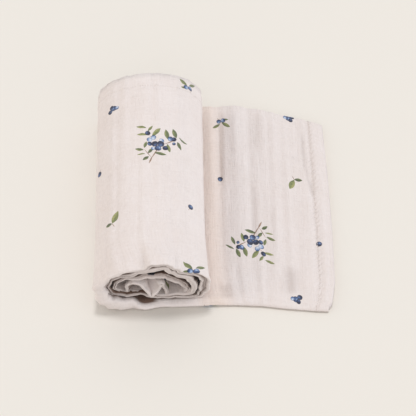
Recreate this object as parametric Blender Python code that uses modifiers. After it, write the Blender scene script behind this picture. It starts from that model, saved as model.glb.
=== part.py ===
"""A muslin swaddle blanket, folded in half twice into a strip of four layers and rolled up from one end,
with the last of the strip left lying flat beside the roll.

The whole blanket is one sheet of cloth: a grid that is folded across its width, wound along its length, and
then given its thickness. X runs from the roll to the flat end, Y along the roll, and Z up from the surface
that the blanket lies on. The origin is on that surface, in the middle of the blanket's footprint.
"""

import bmesh
import bpy
import numpy as np

# The blanket as it is cut, and its four layers. Metres.
CLOTH_SIDE = 1.20
STRIP_WIDTH = CLOTH_SIDE / 4
CLOTH_THICK = 0.0011
LAYER_PITCH = 0.0024
STACK = 3 * LAYER_PITCH + CLOTH_THICK
HEM_SETBACK = 0.003

# The roll and the flat end beside it.
ROLL_X = -0.0715
ROLL_HALF_WIDTH = 0.0745
ROLL_TOP = 0.0570
ROLL_BOTTOM = 0.0505
BOTTOM_SQUARENESS = 0.5
WRAP_PITCH = 0.0110
FLAT_END_X = 0.1615

# The grid's points: along the strip, across one layer as shares of its width, and round each fold by how
# many levels it climbs or falls.
STEPS_A_TURN = 26
FLAT_STEPS = 14
UNDER_ROLL_STEPS = 3
LAYER_SHARES = np.array([0.0, 0.12, 0.38, 0.72, 1.0])
FOLD_STEPS = {3: 4, 1: 2}

# How far from the strip's edge a layer ends and its fold begins. The small near fold nests in the large one.
OUTER_GAP = STACK / 2
INNER_GAP = 1.5 * LAYER_PITCH + CLOTH_THICK
FAR_GAP = (LAYER_PITCH + CLOTH_THICK) / 2

# The layers in the order in which the cloth passes through them, from its first hem to its last. The lowest
# and the highest meet in a round fold at the near edge, with the fold between the middle two inside it.
LAYERS = (
    # level, towards_far, near_gap, far_gap
    (0, False, OUTER_GAP, HEM_SETBACK),
    (3, True, OUTER_GAP, FAR_GAP),
    (2, False, INNER_GAP, FAR_GAP),
    (1, True, INNER_GAP, HEM_SETBACK + LAYER_PITCH),
)

# The strip's long edges, which aren't quite straight, by distance along the strip from its flat end.
STRIP_EDGES = (
    # along, near_y, far_y
    (0.000, -0.161, 0.128),
    (0.026, -0.160, 0.137),
    (0.060, -0.157, 0.146),
    (0.095, -0.152, 0.156),
    (0.140, -0.150, 0.161),
    (0.165, -0.150, 0.157),
    (0.225, -0.151, 0.150),
    (0.243, -0.155, 0.149),
    (0.258, -0.152, 0.148),
    (0.275, -0.154, 0.148),
    (0.300, -0.151, 0.148),
    (0.430, -0.149, 0.150),
    (0.520, -0.148, 0.149),
    (0.600, -0.145, 0.146),
    (0.740, -0.143, 0.147),
    (0.860, -0.146, 0.144),
    (1.000, -0.142, 0.146),
    (1.200, -0.145, 0.142),
)

# The hemmed end of the strip, drawn back at its corners, by share of the width from the near edge.
HEMMED_END = (
    # share, setback
    (0.00, 0.011),
    (0.02, 0.006),
    (0.12, 0.001),
    (0.40, 0.000),
    (0.72, 0.001),
    (1.00, 0.004),
)
END_REACH = 0.05

# Soft ridges along Y in the flat end: how far each lifts the layers, as a share of their height, at its near
# and its far end, and how far its line leans in X for each metre of Y.
RIDGES = (
    # x, half_width, near_rise, far_rise, lean
    (0.008, 0.013, 0.35, 1.10, -0.02),
    (0.040, 0.016, 0.30, 0.85, 0.00),
    (0.072, 0.014, 0.20, 0.40, 0.02),
    (0.098, 0.014, 0.25, 0.20, -0.02),
    (0.128, 0.012, 0.15, 0.10, -0.04),
    (0.151, 0.009, 0.25, 0.15, -0.03),
)
RIDGE_START = 0.006

# Where the wound layers buckle into the hollow in the middle of the roll: the middle of each buckle, how far
# it reaches to each side, down and up, and how far it lifts the layers. They are deepest at the near end.
BUCKLES = (
    # x, z, reach_x, reach_down, reach_up, lift
    (-0.0620, 0.0630, 0.022, 0.0220, 0.034, -0.0125),
    (-0.0960, 0.0370, 0.024, 0.0300, 0.022, 0.0075),
    (-0.0400, 0.0380, 0.022, 0.0300, 0.022, 0.0060),
)
BUCKLE_LENGTH = 0.09
BUCKLE_INSIDE = 0.45

# How much wider each side of the roll is along Y, as a share of its half width. It flares at its near end.
ROLL_SIDES = (
    # y, left, right
    (-0.150, 0.040, 0.120),
    (-0.118, 0.018, 0.050),
    (-0.080, 0.006, 0.010),
    (-0.020, 0.014, 0.000),
    (0.050, 0.028, -0.006),
    (0.150, 0.022, -0.012),
)

MUSLIN_COLOR = (0.83, 0.76, 0.73, 1.0)
MUSLIN_ROUGHNESS = 0.95


def smooth(share):
    """Rises from 0 to 1 with the share, with no kink at either end."""
    share = np.clip(share, 0.0, 1.0)
    return share * share * (3 - 2 * share)


def bump(offset):
    """1 in the middle, falling smoothly to 0 where the offset reaches 1 or -1."""
    return (1 - np.clip(offset, -1.0, 1.0) ** 2) ** 2


def read_table(table, at, column):
    """A table's column, read between its rows by its first column."""
    columns = np.array(table).T
    return np.interp(at, columns[0], columns[column])


def folded_section():
    """The cloth's path across the strip, through its layers and folds. Each point is a share of the strip's
    width from the near edge, a distance to add to that, and a height in the stack."""
    points = []
    for here, following in zip(LAYERS, LAYERS[1:] + (None,)):
        level, towards_far, near_gap, far_gap = here
        height = CLOTH_THICK / 2 + level * LAYER_PITCH
        shares = LAYER_SHARES if towards_far else LAYER_SHARES[::-1]
        points += [(share, near_gap * (1 - share) - far_gap * share, height) for share in shares]
        if following is None:
            break
        climb = following[0] - level
        edge, outward, gap = (1.0, 1.0, far_gap) if towards_far else (0.0, -1.0, near_gap)
        for angle in np.linspace(0.0, np.pi, FOLD_STEPS[abs(climb)] + 1)[1:-1]:
            beyond = abs(climb) * LAYER_PITCH / 2 * np.sin(angle)
            rise = climb * LAYER_PITCH / 2 * (1 - np.cos(angle))
            points.append((edge, outward * (beyond - gap), height + rise))
    return np.array(points).T


def wound(past_middle, turns, height):
    """Where a point of the strip lies in X and Z. The flat end is straight. From below the roll's middle the
    strip turns up the left side and over the top, and each turn lies one pitch inside the last."""
    depth = WRAP_PITCH * turns + height
    angle = -np.pi / 2 - 2 * np.pi * turns
    across, up = np.cos(angle), np.sin(angle)
    below = (ROLL_BOTTOM - depth) * up * (1 + BOTTOM_SQUARENESS * across**2)
    above = (ROLL_TOP - depth) * up
    x = ROLL_X + past_middle + (ROLL_HALF_WIDTH - depth) * across
    return x, ROLL_BOTTOM + np.where(up < 0, below, above)


def strip_stations():
    """The steps along the strip until the blanket's length is used up: how far each lies past the roll's
    middle, its turns round the roll, and its distance along the strip."""
    beside = np.linspace(FLAT_END_X - ROLL_X, ROLL_HALF_WIDTH, FLAT_STEPS + 1)
    under = np.linspace(ROLL_HALF_WIDTH, 0.0, UNDER_ROLL_STEPS + 1)
    flat = np.concatenate([beside, under[1:]])
    turns = np.arange(STEPS_A_TURN * ROLL_TOP / WRAP_PITCH) / STEPS_A_TURN
    x, z = wound(0.0, turns, STACK / 2)
    wound_length = np.concatenate([[0.0], np.cumsum(np.hypot(np.diff(x), np.diff(z)))])
    used = slice(1, np.argmax(flat[0] + wound_length > CLOTH_SIDE) + 1)
    past_middle = np.concatenate([flat, np.zeros_like(turns[used])])
    turns_so_far = np.concatenate([np.zeros_like(flat), turns[used]])
    along = np.concatenate([flat[0] - flat, flat[0] + wound_length[used]])
    return past_middle, turns_so_far, along


def buckled(x, y, z):
    """The layers inside the roll pushed up or down by each buckle."""
    near = 1 - smooth((y + STRIP_WIDTH / 2) / BUCKLE_LENGTH)
    strength = BUCKLE_INSIDE + (1 - BUCKLE_INSIDE) * near
    for middle_x, middle_z, reach_x, reach_down, reach_up, lift in BUCKLES:
        reach_z = np.where(z < middle_z, reach_down, reach_up)
        z = z + strength * lift * bump((x - middle_x) / reach_x) * bump((z - middle_z) / reach_z)
    return z


def ridged(x, y, z):
    """The flat end's layers lifted off the lowest one at each ridge, from the roll's side outwards."""
    beside_roll = smooth((x - ROLL_X - ROLL_HALF_WIDTH) / RIDGE_START + 1)
    towards_far = np.clip(y / STRIP_WIDTH + 0.5, 0.0, 1.0)
    lift = np.ones_like(z)
    for middle_x, half_width, near_rise, far_rise, lean in RIDGES:
        rise = near_rise + (far_rise - near_rise) * towards_far
        lift += beside_roll * rise * np.exp(-(((x - middle_x - lean * y) / half_width) ** 2))
    lowest = CLOTH_THICK / 2
    return np.where(z < 2 * STACK, lowest + (z - lowest) * lift, z)


def flared(x, y):
    """The roll made wider or narrower along Y, which dies out across the flat end."""
    from_middle = x - ROLL_X
    side = np.where(from_middle < 0, read_table(ROLL_SIDES, y, 1), read_table(ROLL_SIDES, y, 2))
    keep = 1 - smooth((from_middle - ROLL_HALF_WIDTH) / ROLL_HALF_WIDTH)
    return x + side * from_middle * keep


def cloth_points():
    """Every point of the folded and wound sheet, in one row for each step along the strip."""
    past_middle, turns, along = strip_stations()
    share, offset, height = folded_section()
    near_y = read_table(STRIP_EDGES, along, 1)[:, None]
    far_y = read_table(STRIP_EDGES, along, 2)[:, None]
    y = near_y + share * (far_y - near_y) + offset
    x, z = wound(past_middle[:, None], turns[:, None], height)
    x = x - read_table(HEMMED_END, share, 1) * (1 - smooth(along / END_REACH))[:, None]
    z = ridged(x, y, buckled(x, y, z))
    return np.stack([flared(x, y), y, z], axis=2)


def grid_object(name, points):
    """A flat grid with each of its vertices moved to its place in the cloth."""
    rows, columns = points.shape[:2]
    mesh = bpy.data.meshes.new(name)
    grid = bmesh.new()
    bmesh.ops.create_grid(grid, x_segments=rows - 1, y_segments=columns - 1, size=0.5)
    for vertex in grid.verts:
        row = round((vertex.co.x + 0.5) * (rows - 1))
        column = round((vertex.co.y + 0.5) * (columns - 1))
        vertex.co = points[row, column]
    grid.to_mesh(mesh)
    grid.free()
    mesh.shade_smooth()
    return bpy.data.objects.new(name, mesh)


def muslin_material():
    material = bpy.data.materials.new("muslin")
    material.use_nodes = True
    shader = material.node_tree.nodes["Principled BSDF"]
    shader.inputs["Base Color"].default_value = MUSLIN_COLOR
    shader.inputs["Roughness"].default_value = MUSLIN_ROUGHNESS
    shader.inputs["Metallic"].default_value = 0.0
    return material


def add_thickness(cloth):
    """The sheet's thickness, half to each side of the grid."""
    solidify = cloth.modifiers.new("cloth thickness", "SOLIDIFY")
    solidify.thickness = CLOTH_THICK
    solidify.offset = 0.0
    solidify.use_even_offset = True
    solidify.use_quality_normals = True


def stand_on_origin(cloth):
    """Moves the finished cloth: the middle of its footprint to the origin, and its underside to height 0."""
    bpy.context.view_layer.update()
    corners = np.array(cloth.evaluated_get(bpy.context.evaluated_depsgraph_get()).bound_box)
    low, high = corners.min(axis=0), corners.max(axis=0)
    cloth.location = (-(low[0] + high[0]) / 2, -(low[1] + high[1]) / 2, -low[2])


def build():
    for old in list(bpy.data.objects):
        bpy.data.objects.remove(old)
    collection = bpy.data.collections.new("swaddle_blanket")
    bpy.context.scene.collection.children.link(collection)
    blanket = grid_object("blanket", cloth_points())
    collection.objects.link(blanket)
    blanket.data.materials.append(muslin_material())
    add_thickness(blanket)
    stand_on_origin(blanket)


build()
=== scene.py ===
"""A printed muslin swaddle blanket, folded into a strip of four layers and rolled up from one end.

The script is laid out as a Blender add-on and is run as a script. The cloth is one sheet, worked out as a
function of two lengths on the flat cloth: along the folded strip, from its free end to the core of the
roll, and across the whole cloth, through its three folds. Lengths are in metres, in the frame of the
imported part.
"""
import math

import bpy
import numpy as np
from bpy.props import FloatProperty, FloatVectorProperty, PointerProperty
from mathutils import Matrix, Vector


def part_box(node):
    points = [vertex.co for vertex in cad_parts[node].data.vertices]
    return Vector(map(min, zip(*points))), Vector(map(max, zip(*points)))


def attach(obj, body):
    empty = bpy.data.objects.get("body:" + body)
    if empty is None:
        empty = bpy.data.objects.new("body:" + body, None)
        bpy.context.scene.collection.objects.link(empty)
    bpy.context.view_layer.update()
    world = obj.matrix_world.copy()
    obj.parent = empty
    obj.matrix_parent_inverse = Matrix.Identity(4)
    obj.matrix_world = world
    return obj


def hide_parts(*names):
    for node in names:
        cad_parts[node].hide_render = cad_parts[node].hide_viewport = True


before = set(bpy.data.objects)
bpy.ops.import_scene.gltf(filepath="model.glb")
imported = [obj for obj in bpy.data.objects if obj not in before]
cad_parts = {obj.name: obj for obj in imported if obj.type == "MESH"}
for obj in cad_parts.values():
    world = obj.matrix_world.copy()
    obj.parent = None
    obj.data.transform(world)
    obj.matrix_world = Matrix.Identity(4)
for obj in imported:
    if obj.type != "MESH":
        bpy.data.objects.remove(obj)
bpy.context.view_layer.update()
_, CAD_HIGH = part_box("blanket")

bl_info = {
    "name": "Rolled swaddle blanket",
    "version": (1, 0, 0),
    "blender": (4, 5, 0),
    "location": "3D View > Sidebar > Blanket",
    "description": "Folds, rolls, prints and hems a muslin swaddle blanket and lights it in a small studio",
    "category": "Add Mesh",
}

# ---------------------------------------------------------------------------------------------------------
# The cloth and its folding. The sizes of the strip and the roll are the part's, and the finer forms are
# the cloth's own. Where a name ends in SPAN, it holds the start and the length of a stretch over which
# something sets in, and where it ends in HUMP, the middle and the half length of one where it is strongest.
CLOTH_SIDE = 1.20
STRIP_WIDTH = CLOTH_SIDE / 4
LAYER_PITCH = 0.0024
CLOTH_THICK = 0.0011
STACK = 3 * LAYER_PITCH + CLOTH_THICK
TOP_LEVEL = 3 * LAYER_PITCH

ROLL_X = -0.0715
ROLL_HALF_WIDTH = 0.0745
ROLL_TOP, ROLL_BOTTOM = 0.0570, 0.0505  # half heights, above and below the roll's widest line
BOTTOM_SQUARENESS = 0.5
WRAP_PITCH = 0.0110
FLAT_END_X = 0.1615
# The tables below measure x, y and z from a point of their own, and this moves them to the part's origin.
TO_ORIGIN = (CAD_HIGH[0] - FLAT_END_X, 0.0001, 0.0005)

# Height of each layer above the strip's underside, in layers, from the cloth's free side to its other one.
PLY_LEVELS = (0, 3, 2, 1)
LAST_PLY = len(PLY_LEVELS) - 1
FOLD_SETBACKS = (0.0, 0.0018, 0.0060)  # near outer fold, far fold, near inner fold
FREE_SETBACKS = (0.003, 0.0055)  # the two hemmed sides, at the strip's far edge
FOLD_KNOTS = 12

STRIP_EDGES = (  # along, near_y, far_y
    (0.000, -0.161, 0.128), (0.026, -0.160, 0.137), (0.060, -0.157, 0.146), (0.095, -0.152, 0.156),
    (0.140, -0.150, 0.161), (0.165, -0.150, 0.157), (0.225, -0.151, 0.150), (0.243, -0.1555, 0.149),
    (0.258, -0.153, 0.148), (0.275, -0.1575, 0.148), (0.300, -0.1575, 0.148), (0.318, -0.154, 0.148),
    (0.345, -0.152, 0.149), (0.430, -0.150, 0.150), (0.520, -0.148, 0.149), (0.600, -0.145, 0.146),
    (0.740, -0.143, 0.147), (0.860, -0.146, 0.144), (1.000, -0.142, 0.146), (1.200, -0.145, 0.142),
)
HEMMED_END = (  # share of the width from the near edge, how far the end is set back there
    (0.00, 0.011), (0.02, 0.006), (0.12, 0.001), (0.40, 0.000), (0.72, 0.001), (1.00, 0.004),
)
END_REACH = 0.05
ROLL_SIDES = (  # y, shares by which the roll's left and right half are widened there
    (-0.150, 0.040, 0.120), (-0.118, 0.018, 0.050), (-0.080, 0.006, 0.010),
    (-0.020, 0.014, 0.000), (0.050, 0.028, -0.006), (0.150, 0.022, -0.012),
)
# Soft ridges across the flat end. A rise is a share of the strip's own height.
RIDGES = (  # x, half_width, near_rise, far_rise, lean
    (-0.003, 0.017, 0.60, 1.15, -0.01), (0.040, 0.016, 0.30, 0.85, 0.00), (0.072, 0.014, 0.20, 0.40, 0.02),
    (0.098, 0.014, 0.25, 0.20, -0.02), (0.128, 0.012, 0.15, 0.10, -0.04), (0.151, 0.009, 0.25, 0.15, -0.03),
)
RIDGES_SPAN = (ROLL_X + ROLL_HALF_WIDTH - 0.022, 0.012)
# The folded strip's middle line where its rolled part comes to the near end, from the roll's left side
# round to the core, and how full its fold is there, as a share of the stack.
NEAR_END = (  # place along the strip where a stretch begins, its points: x, z, near_y, fullness
    (0.329, (  # outer wrap, up its left side and over its top
        (-0.138, 0.048, -0.152, 1.55), (-0.136, 0.057, -0.152, 1.45), (-0.130, 0.065, -0.151, 1.10),
        (-0.123, 0.073, -0.151, 0.95), (-0.114, 0.081, -0.151, 0.90), (-0.106, 0.086, -0.151, 0.85),
        (-0.097, 0.090, -0.151, 0.85), (-0.089, 0.092, -0.151, 0.85), (-0.081, 0.092, -0.151, 0.85),
        (-0.077, 0.094, -0.151, 0.85), (-0.073, 0.100, -0.151, 0.85), (-0.068, 0.103, -0.151, 0.85),
    )),
    (0.420, (  # outer wrap, down its right side
        (-0.062, 0.104, -0.151, 0.85), (-0.054, 0.103, -0.151, 0.85), (-0.047, 0.097, -0.151, 0.90),
        (-0.037, 0.090, -0.151, 0.90), (-0.029, 0.085, -0.151, 1.00), (-0.020, 0.080, -0.151, 1.10),
        (-0.012, 0.074, -0.151, 1.40), (-0.007, 0.066, -0.151, 1.70),
    )),
    (0.506, (  # outer wrap, its right side and the bottom
        (-0.006, 0.055, -0.150, 1.90), (-0.007, 0.042, -0.150, 1.80), (-0.010, 0.029, -0.149, 1.40),
        (-0.015, 0.021, -0.148, 0.90), (-0.026, 0.018, -0.147, 0.60), (-0.040, 0.019, -0.147, 0.50),
        (-0.055, 0.017, -0.146, 0.50),
    )),
    (0.590, (  # second wrap, the bottom and its left side
        (-0.068, 0.017, -0.146, 0.60), (-0.076, 0.020, -0.147, 0.50), (-0.083, 0.024, -0.147, 0.50),
        (-0.090, 0.022, -0.147, 0.50), (-0.100, 0.022, -0.148, 0.60), (-0.110, 0.023, -0.148, 0.70),
        (-0.118, 0.027, -0.148, 0.80), (-0.125, 0.033, -0.148, 0.80),
    )),
    (0.660, (  # second wrap, its left side and top
        (-0.129, 0.042, -0.148, 0.80), (-0.128, 0.050, -0.148, 0.80), (-0.124, 0.058, -0.148, 0.70),
        (-0.117, 0.066, -0.148, 0.70), (-0.108, 0.072, -0.148, 0.80), (-0.098, 0.076, -0.148, 0.80),
        (-0.088, 0.080, -0.149, 0.80), (-0.081, 0.083, -0.149, 0.90), (-0.074, 0.089, -0.150, 1.20),
    )),
    (0.741, (  # second wrap, its top and right side
        (-0.063, 0.090, -0.150, 1.40), (-0.055, 0.090, -0.150, 1.40), (-0.047, 0.084, -0.150, 1.30),
        (-0.038, 0.078, -0.150, 1.40), (-0.030, 0.071, -0.150, 1.50), (-0.023, 0.062, -0.150, 1.30),
    )),
    (0.812, (  # second wrap, its right side and the bottom
        (-0.020, 0.050, -0.150, 1.10), (-0.020, 0.037, -0.149, 0.90), (-0.023, 0.028, -0.148, 0.60),
        (-0.034, 0.025, -0.147, 0.40), (-0.047, 0.024, -0.146, 0.40), (-0.060, 0.021, -0.145, 0.40),
    )),
    (0.875, (  # third wrap, the bottom and its left side
        (-0.071, 0.019, -0.144, 0.40), (-0.078, 0.023, -0.144, 0.40), (-0.083, 0.025, -0.144, 0.40),
        (-0.090, 0.023, -0.144, 0.40), (-0.100, 0.023, -0.144, 0.40), (-0.108, 0.026, -0.144, 0.50),
        (-0.116, 0.033, -0.145, 0.50),
    )),
    (0.934, (  # third wrap, its left side and top
        (-0.119, 0.042, -0.146, 0.50), (-0.118, 0.050, -0.146, 0.50), (-0.113, 0.057, -0.146, 0.60),
        (-0.106, 0.062, -0.146, 0.80), (-0.097, 0.066, -0.147, 1.10), (-0.087, 0.068, -0.147, 1.30),
        (-0.077, 0.070, -0.148, 1.50),
    )),
    (0.992, (  # third wrap, its top and right side
        (-0.067, 0.070, -0.148, 1.50), (-0.058, 0.070, -0.148, 1.40), (-0.052, 0.068, -0.148, 1.40),
        (-0.046, 0.062, -0.148, 1.40), (-0.039, 0.055, -0.148, 1.30), (-0.031, 0.045, -0.147, 1.10),
    )),
    (1.052, (  # core, with its two peaks
        (-0.028, 0.036, -0.146, 0.70), (-0.030, 0.027, -0.145, 0.40), (-0.036, 0.023, -0.144, 0.35),
        (-0.044, 0.020, -0.143, 0.35), (-0.052, 0.021, -0.143, 0.35), (-0.056, 0.028, -0.144, 0.35),
        (-0.058, 0.042, -0.146, 0.35), (-0.061, 0.056, -0.148, 0.35), (-0.063, 0.046, -0.148, 0.35),
        (-0.066, 0.040, -0.150, 0.35), (-0.069, 0.035, -0.152, 0.35), (-0.073, 0.030, -0.153, 0.35),
        (-0.076, 0.034, -0.152, 0.35), (-0.080, 0.040, -0.151, 0.35), (-0.084, 0.048, -0.150, 0.40),
        (-0.089, 0.054, -0.149, 0.50), (-0.095, 0.057, -0.148, 0.60), (-0.100, 0.052, -0.147, 0.50),
        (-0.103, 0.042, -0.146, 0.40), (-0.105, 0.033, -0.145, 0.35), (-0.104, 0.030, -0.145, 0.35),
    )),
)
NEAR_END_SPAN = (0.315, 0.030)
NEAR_END_DEPTH = 0.050
ON_FLOOR_SPAN = (0.0, 0.020)  # past the roll's middle
ROLLED_SPAN = (0.02, 0.10)  # in turns
OUTER_FULLNESS = (  # along, share of the stack at the near edge; above 1 it swells inwards
    (0.000, 0.62), (0.215, 0.62), (0.226, 0.85), (0.240, 0.62), (0.250, 0.90), (0.260, 2.00), (0.290, 2.30),
    (0.320, 2.10), (0.350, 1.60),
)
FULLNESS_REACH = 0.014
PUFF_REACH = 0.036
# The near outer fold is dented along its middle in places, so that it shows as two thin folds.
DENTS = (  # along, depth
    (0.225, 0.000), (0.380, 0.000), (0.410, 0.002), (0.450, 0.001), (0.480, 0.003), (0.505, 0.008),
    (0.535, 0.006), (0.560, 0.002), (0.620, 0.003), (0.660, 0.005), (0.690, 0.004), (0.715, 0.001),
    (0.800, 0.001), (0.880, 0.002), (0.930, 0.006), (0.960, 0.007), (1.000, 0.010), (1.045, 0.010),
    (1.065, 0.003), (1.080, 0.001), (1.200, 0.001),
)
DENT_HALF_WIDTH = 0.0022
# Soft wrinkles at the roll's near end, which die away into it.
WRINKLES = (  # spacing, heading, phase, rise
    (0.0230, 0.30, 0.5, 0.0015), (0.0160, -0.45, 2.6, 0.0012), (0.0125, 0.15, 4.4, 0.0009),
    (0.0340, -0.20, 1.1, 0.0016), (0.0105, 0.80, 3.0, 0.0007),
)
WRINKLE_REACH = 0.020
WRINKLES_INSIDE = 0.12  # share of them that runs on through the roll
WRINKLE_DRIFT = 25.0  # radians for each metre away from the near edge
MEAN_SINE = 0.64  # the mean size of a sine
# Creases in the strip's top where it lies flat, and in its outside where it is rolled, each a soft stroke
# between two points: distance along the strip, distance from its near edge, rise of the cloth, half width.
FLAT_CREASES = (  # along_0, in_0, along_1, in_1, rise, half_width
    (0.1612, 0.300, 0.1602, 0.130, -0.0010, 0.0036), (0.1400, 0.285, 0.1430, 0.180, -0.0022, 0.0030),
    (0.1216, 0.310, 0.1222, 0.227, 0.0022, 0.0035), (0.1285, 0.149, 0.1310, 0.049, 0.0014, 0.0030),
    (0.1010, 0.170, 0.1016, 0.100, -0.0014, 0.0024), (0.0933, 0.295, 0.0947, 0.233, -0.0013, 0.0022),
    (0.0850, 0.295, 0.0866, 0.233, 0.0013, 0.0026), (0.0718, 0.148, 0.0760, 0.045, 0.0020, 0.0035),
    (0.0571, 0.055, 0.0575, 0.020, -0.0022, 0.0085), (0.1498, 0.026, 0.1490, 0.008, -0.0020, 0.0075),
    (0.1221, 0.242, 0.0229, 0.226, -0.0004, 0.0012), (0.1068, 0.211, 0.0497, 0.198, -0.0004, 0.0012),
    (0.1068, 0.047, 0.0579, 0.046, -0.0004, 0.0012), (0.0316, 0.269, 0.0300, 0.219, -0.0018, 0.0022),
    (0.0300, 0.219, 0.0228, 0.177, -0.0018, 0.0022),
)
ROLL_CREASES = (  # along_0, in_0, along_1, in_1, rise, half_width
    (0.40, 0.05, 0.47, 0.045, -0.0005, 0.002),
)
CREASE_RUNOUT = 0.2  # how far a stroke runs on past its ends, as a share of its length
PLEATS = (  # spacing, phase, drift in radians for each metre away from the near edge, rise
    (0.0093, 0.4, 9.0, 0.00025), (0.0137, 2.1, -6.0, 0.00039), (0.0210, 4.0, 4.0, 0.00047),
)

# Where the wraps sag into the hollow core, most at the near end.
BUCKLES = (  # x, z, reach_x, reach_down, reach_up, lift
    (-0.0620, 0.0630, 0.022, 0.0220, 0.034, -0.0125),
    (-0.0960, 0.0370, 0.024, 0.0300, 0.022, 0.0075),
    (-0.0400, 0.0380, 0.022, 0.0300, 0.022, 0.0060),
)
BUCKLE_LENGTH = 0.09
BUCKLE_INSIDE = 0.45  # share of the sag that runs on through the roll
# Small pushes at both ends of the roll, spread over its section.
CRUMPLES = 70
CRUMPLE_SEED = 11
CRUMPLE_HALF_WIDTH, CRUMPLE_HALF_HEIGHT, CRUMPLE_MIDDLE = 0.070, 0.047, 0.052
CRUMPLE_REACH = (0.006, 0.011)  # smallest and largest, as in the next two
CRUMPLE_PUSH = (0.15, 0.40)  # shares of the reach
CRUMPLE_DEPTH = (0.030, 0.090)
CRUMPLED_FAR_END = 0.4  # share of the pushes that are at the far end
CRUMPLES_LOW_SPAN, CRUMPLES_HIGH_SPAN = (0.012, 0.010), (0.092, 0.020)

HEM_WIDTH = 0.0215
SEAM_INSET = 0.0200
SIDE_SEAM_SHARE = 0.3  # how much of the end seams' groove and puckers the side seams have
THREAD_RADIUS = 0.00030
STITCH_SIDES = 5
STITCH_SPACING = 0.0031
STITCH_FILL = 0.84  # a stitch's length as a share of that
STITCH_PROFILE = (  # place along the stitch, thickness, lift in thread radii
    (-1.0, 0.35, -1.6), (-0.75, 0.9, -0.2), (0.0, 1.0, 0.35), (0.75, 0.9, -0.2), (1.0, 0.35, -1.6),
)
HEM_THICK = 0.0014
PLAIN_SHARE = 0.70  # the cloth's thickness inside the hem, as a share of the hem's

# Sampling of the sheet: up to each length, the step between rows, or between columns.
ROW_STEPS = (
    (0.018, 0.0022), (0.024, 0.0015), (0.160, 0.0036), (0.234, 0.0074), (0.500, 0.0035), (0.870, 0.0042),
    (1.050, 0.0034), (1.200, 0.0024),
)
PLY_STEPS = ((0.024, 0.0024), (0.054, 0.0037), (0.300, 0.0098))
INNER_PLY_STEPS = ((0.012, 0.0030), (0.300, 0.0240))
FOLD_STEPS = ((1, 3, 12), (2, 1, 4), (3, 1, 4))  # quarter of the cloth, levels that its fold spans, steps
FOLD_CLEARANCE = 0.0008
MOST_TURNS = 0.99 * ROLL_TOP / WRAP_PITCH  # just short of the spiral's middle
SPIRAL_SAMPLES = 3000
NUDGE = 0.0004  # the step that slopes are measured over

# ---------------------------------------------------------------------------------------------------------
# How the cloth's look changes over it: painted shade in the crevices, painted warm light from the roll,
# crinkled weave.
DENT_SHADED = 0.004  # depth of a dent from which its painted shade is full
DENT_SHADE_WIDTH = 0.8 * DENT_HALF_WIDTH
CREVICE_LIPS = (  # along, depth from the near edge at which the painted shade between the wraps starts
    (0.000, 0.0075), (0.226, 0.0075), (0.234, 0.0045), (0.248, 0.0045), (0.258, 0.0065), (0.400, 0.0065),
    (0.450, 0.0006), (1.200, 0.0003),
)
LIP_BLEND = 0.003
INNER_LIP = 0.0003  # how much nearer to the edge it starts on the wraps' inner side
OUTSIDE_COVERED_SPAN = (0.85, 0.10)  # in turns
INSIDE_COVERED_SPAN = (0.170, 0.020)
FAR_EDGE_SPAN = (STRIP_WIDTH - 0.015, 0.010)
# The painted shade is lighter by these shares: in the core, on each side of the cloth, on the inner side
# of the third wrap and of the outer wrap's right, and deep in the valley under the roll.
CORE_SPAN, CORE_OUTSIDE, CORE_INSIDE = (1.030, 0.030), 0.15, 0.85
THIRD_WRAP_SPAN, THIRD_WRAP_INSIDE = (0.800, 0.030), 0.70
RIGHT_HUMP, RIGHT_INSIDE = (0.505, 0.060), 0.55
DEEP_SPAN, PAST_VALLEY_SPAN, DEEP_LIGHT = (0.008, 0.012), (0.258, 0.010), 0.80
# Painted shade and painted warm light in the troughs of the flat end, and painted warm light beside the
# roll.
DEEP_TROUGH, TROUGH_SHADE = 0.0022, 0.20
ROLL_GLOW_HUMP, ROLL_GLOW = (0.160, 0.028), 0.80
TROUGH_GLOW_HUMP, TROUGH_GLOW = (0.145, 0.030), 0.60
# The crinkle of the weave, with its places round the roll in turns.
CRINKLED_END_SPAN, CRINKLED_END_DEPTH = (0.05, 0.10), 0.030
CRINKLED_FLANK_HUMP, FLANK_CRINKLE = (0.33, 0.17), 1.1
LEAST_CRINKLE = 0.25
# Tints multiplied into the cloth's colour: the painted shade's, and the painted warm light's.
PAINTED_SHADE_TINT, GLOW_TINT = (0.20, 0.13, 0.095, 1.0), (1.0, 0.93, 0.86, 1.0)
# Where the print is off its even repeat, and how far it creeps along the inner wraps.
SLIPS = (  # along, across, further_along, further_across
    (0.1405, 0.5735, 0.0075, 0.0035), (0.4690, 0.0120, 0.0060, 0.0050), (0.4685, 0.2930, 0.0065, 0.0040),
    (0.3690, 0.0480, 0.0030, -0.0120), (0.0475, 0.5965, -0.0025, -0.0005), (0.0500, 0.3140, -0.0050, 0.0020),
    (0.4685, 0.2010, 0.0065, 0.0030), (0.1440, 0.4845, 0.0040, -0.0005), (0.3470, 0.1380, -0.0080, -0.0150),
    (0.0180, 0.3990, -0.0060, 0.0040), (0.3725, 0.2235, 0.0000, -0.0115), (0.0465, 0.4935, -0.0015, -0.0015),
    (0.4320, 0.1170, 0.0010, -0.0070), (0.1090, 0.3935, -0.0030, -0.0035), (0.1720, 0.2950, -0.0240, 0.0020),
    (0.5200, 0.2630, -0.0175, 0.0000), (0.7360, 0.2670, 0.0000, 0.0300), (0.9915, 0.2900, -0.0315, 0.0260),
    (1.0950, 0.3180, -0.0320, -0.0210),
)
SLIP_REACH = 0.040
CREEP = (  # along, further_along
    (0.000, 0.000), (0.540, 0.000), (0.720, 0.066), (1.200, 0.066),
)


def smooth(share):
    """A curve from 0 to 1 with level ends."""
    share = np.clip(share, 0.0, 1.0)
    return share * share * (3 - 2 * share)


def bump(offset):
    """A hump that is 1 in the middle and 0 from 1 away on either side."""
    return (1 - np.clip(offset, -1.0, 1.0) ** 2) ** 2


def rising(value, span):
    """From 0 to 1 as a value passes through a span, given as its start and its length."""
    start, length = span
    return smooth((value - start) / length)


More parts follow.
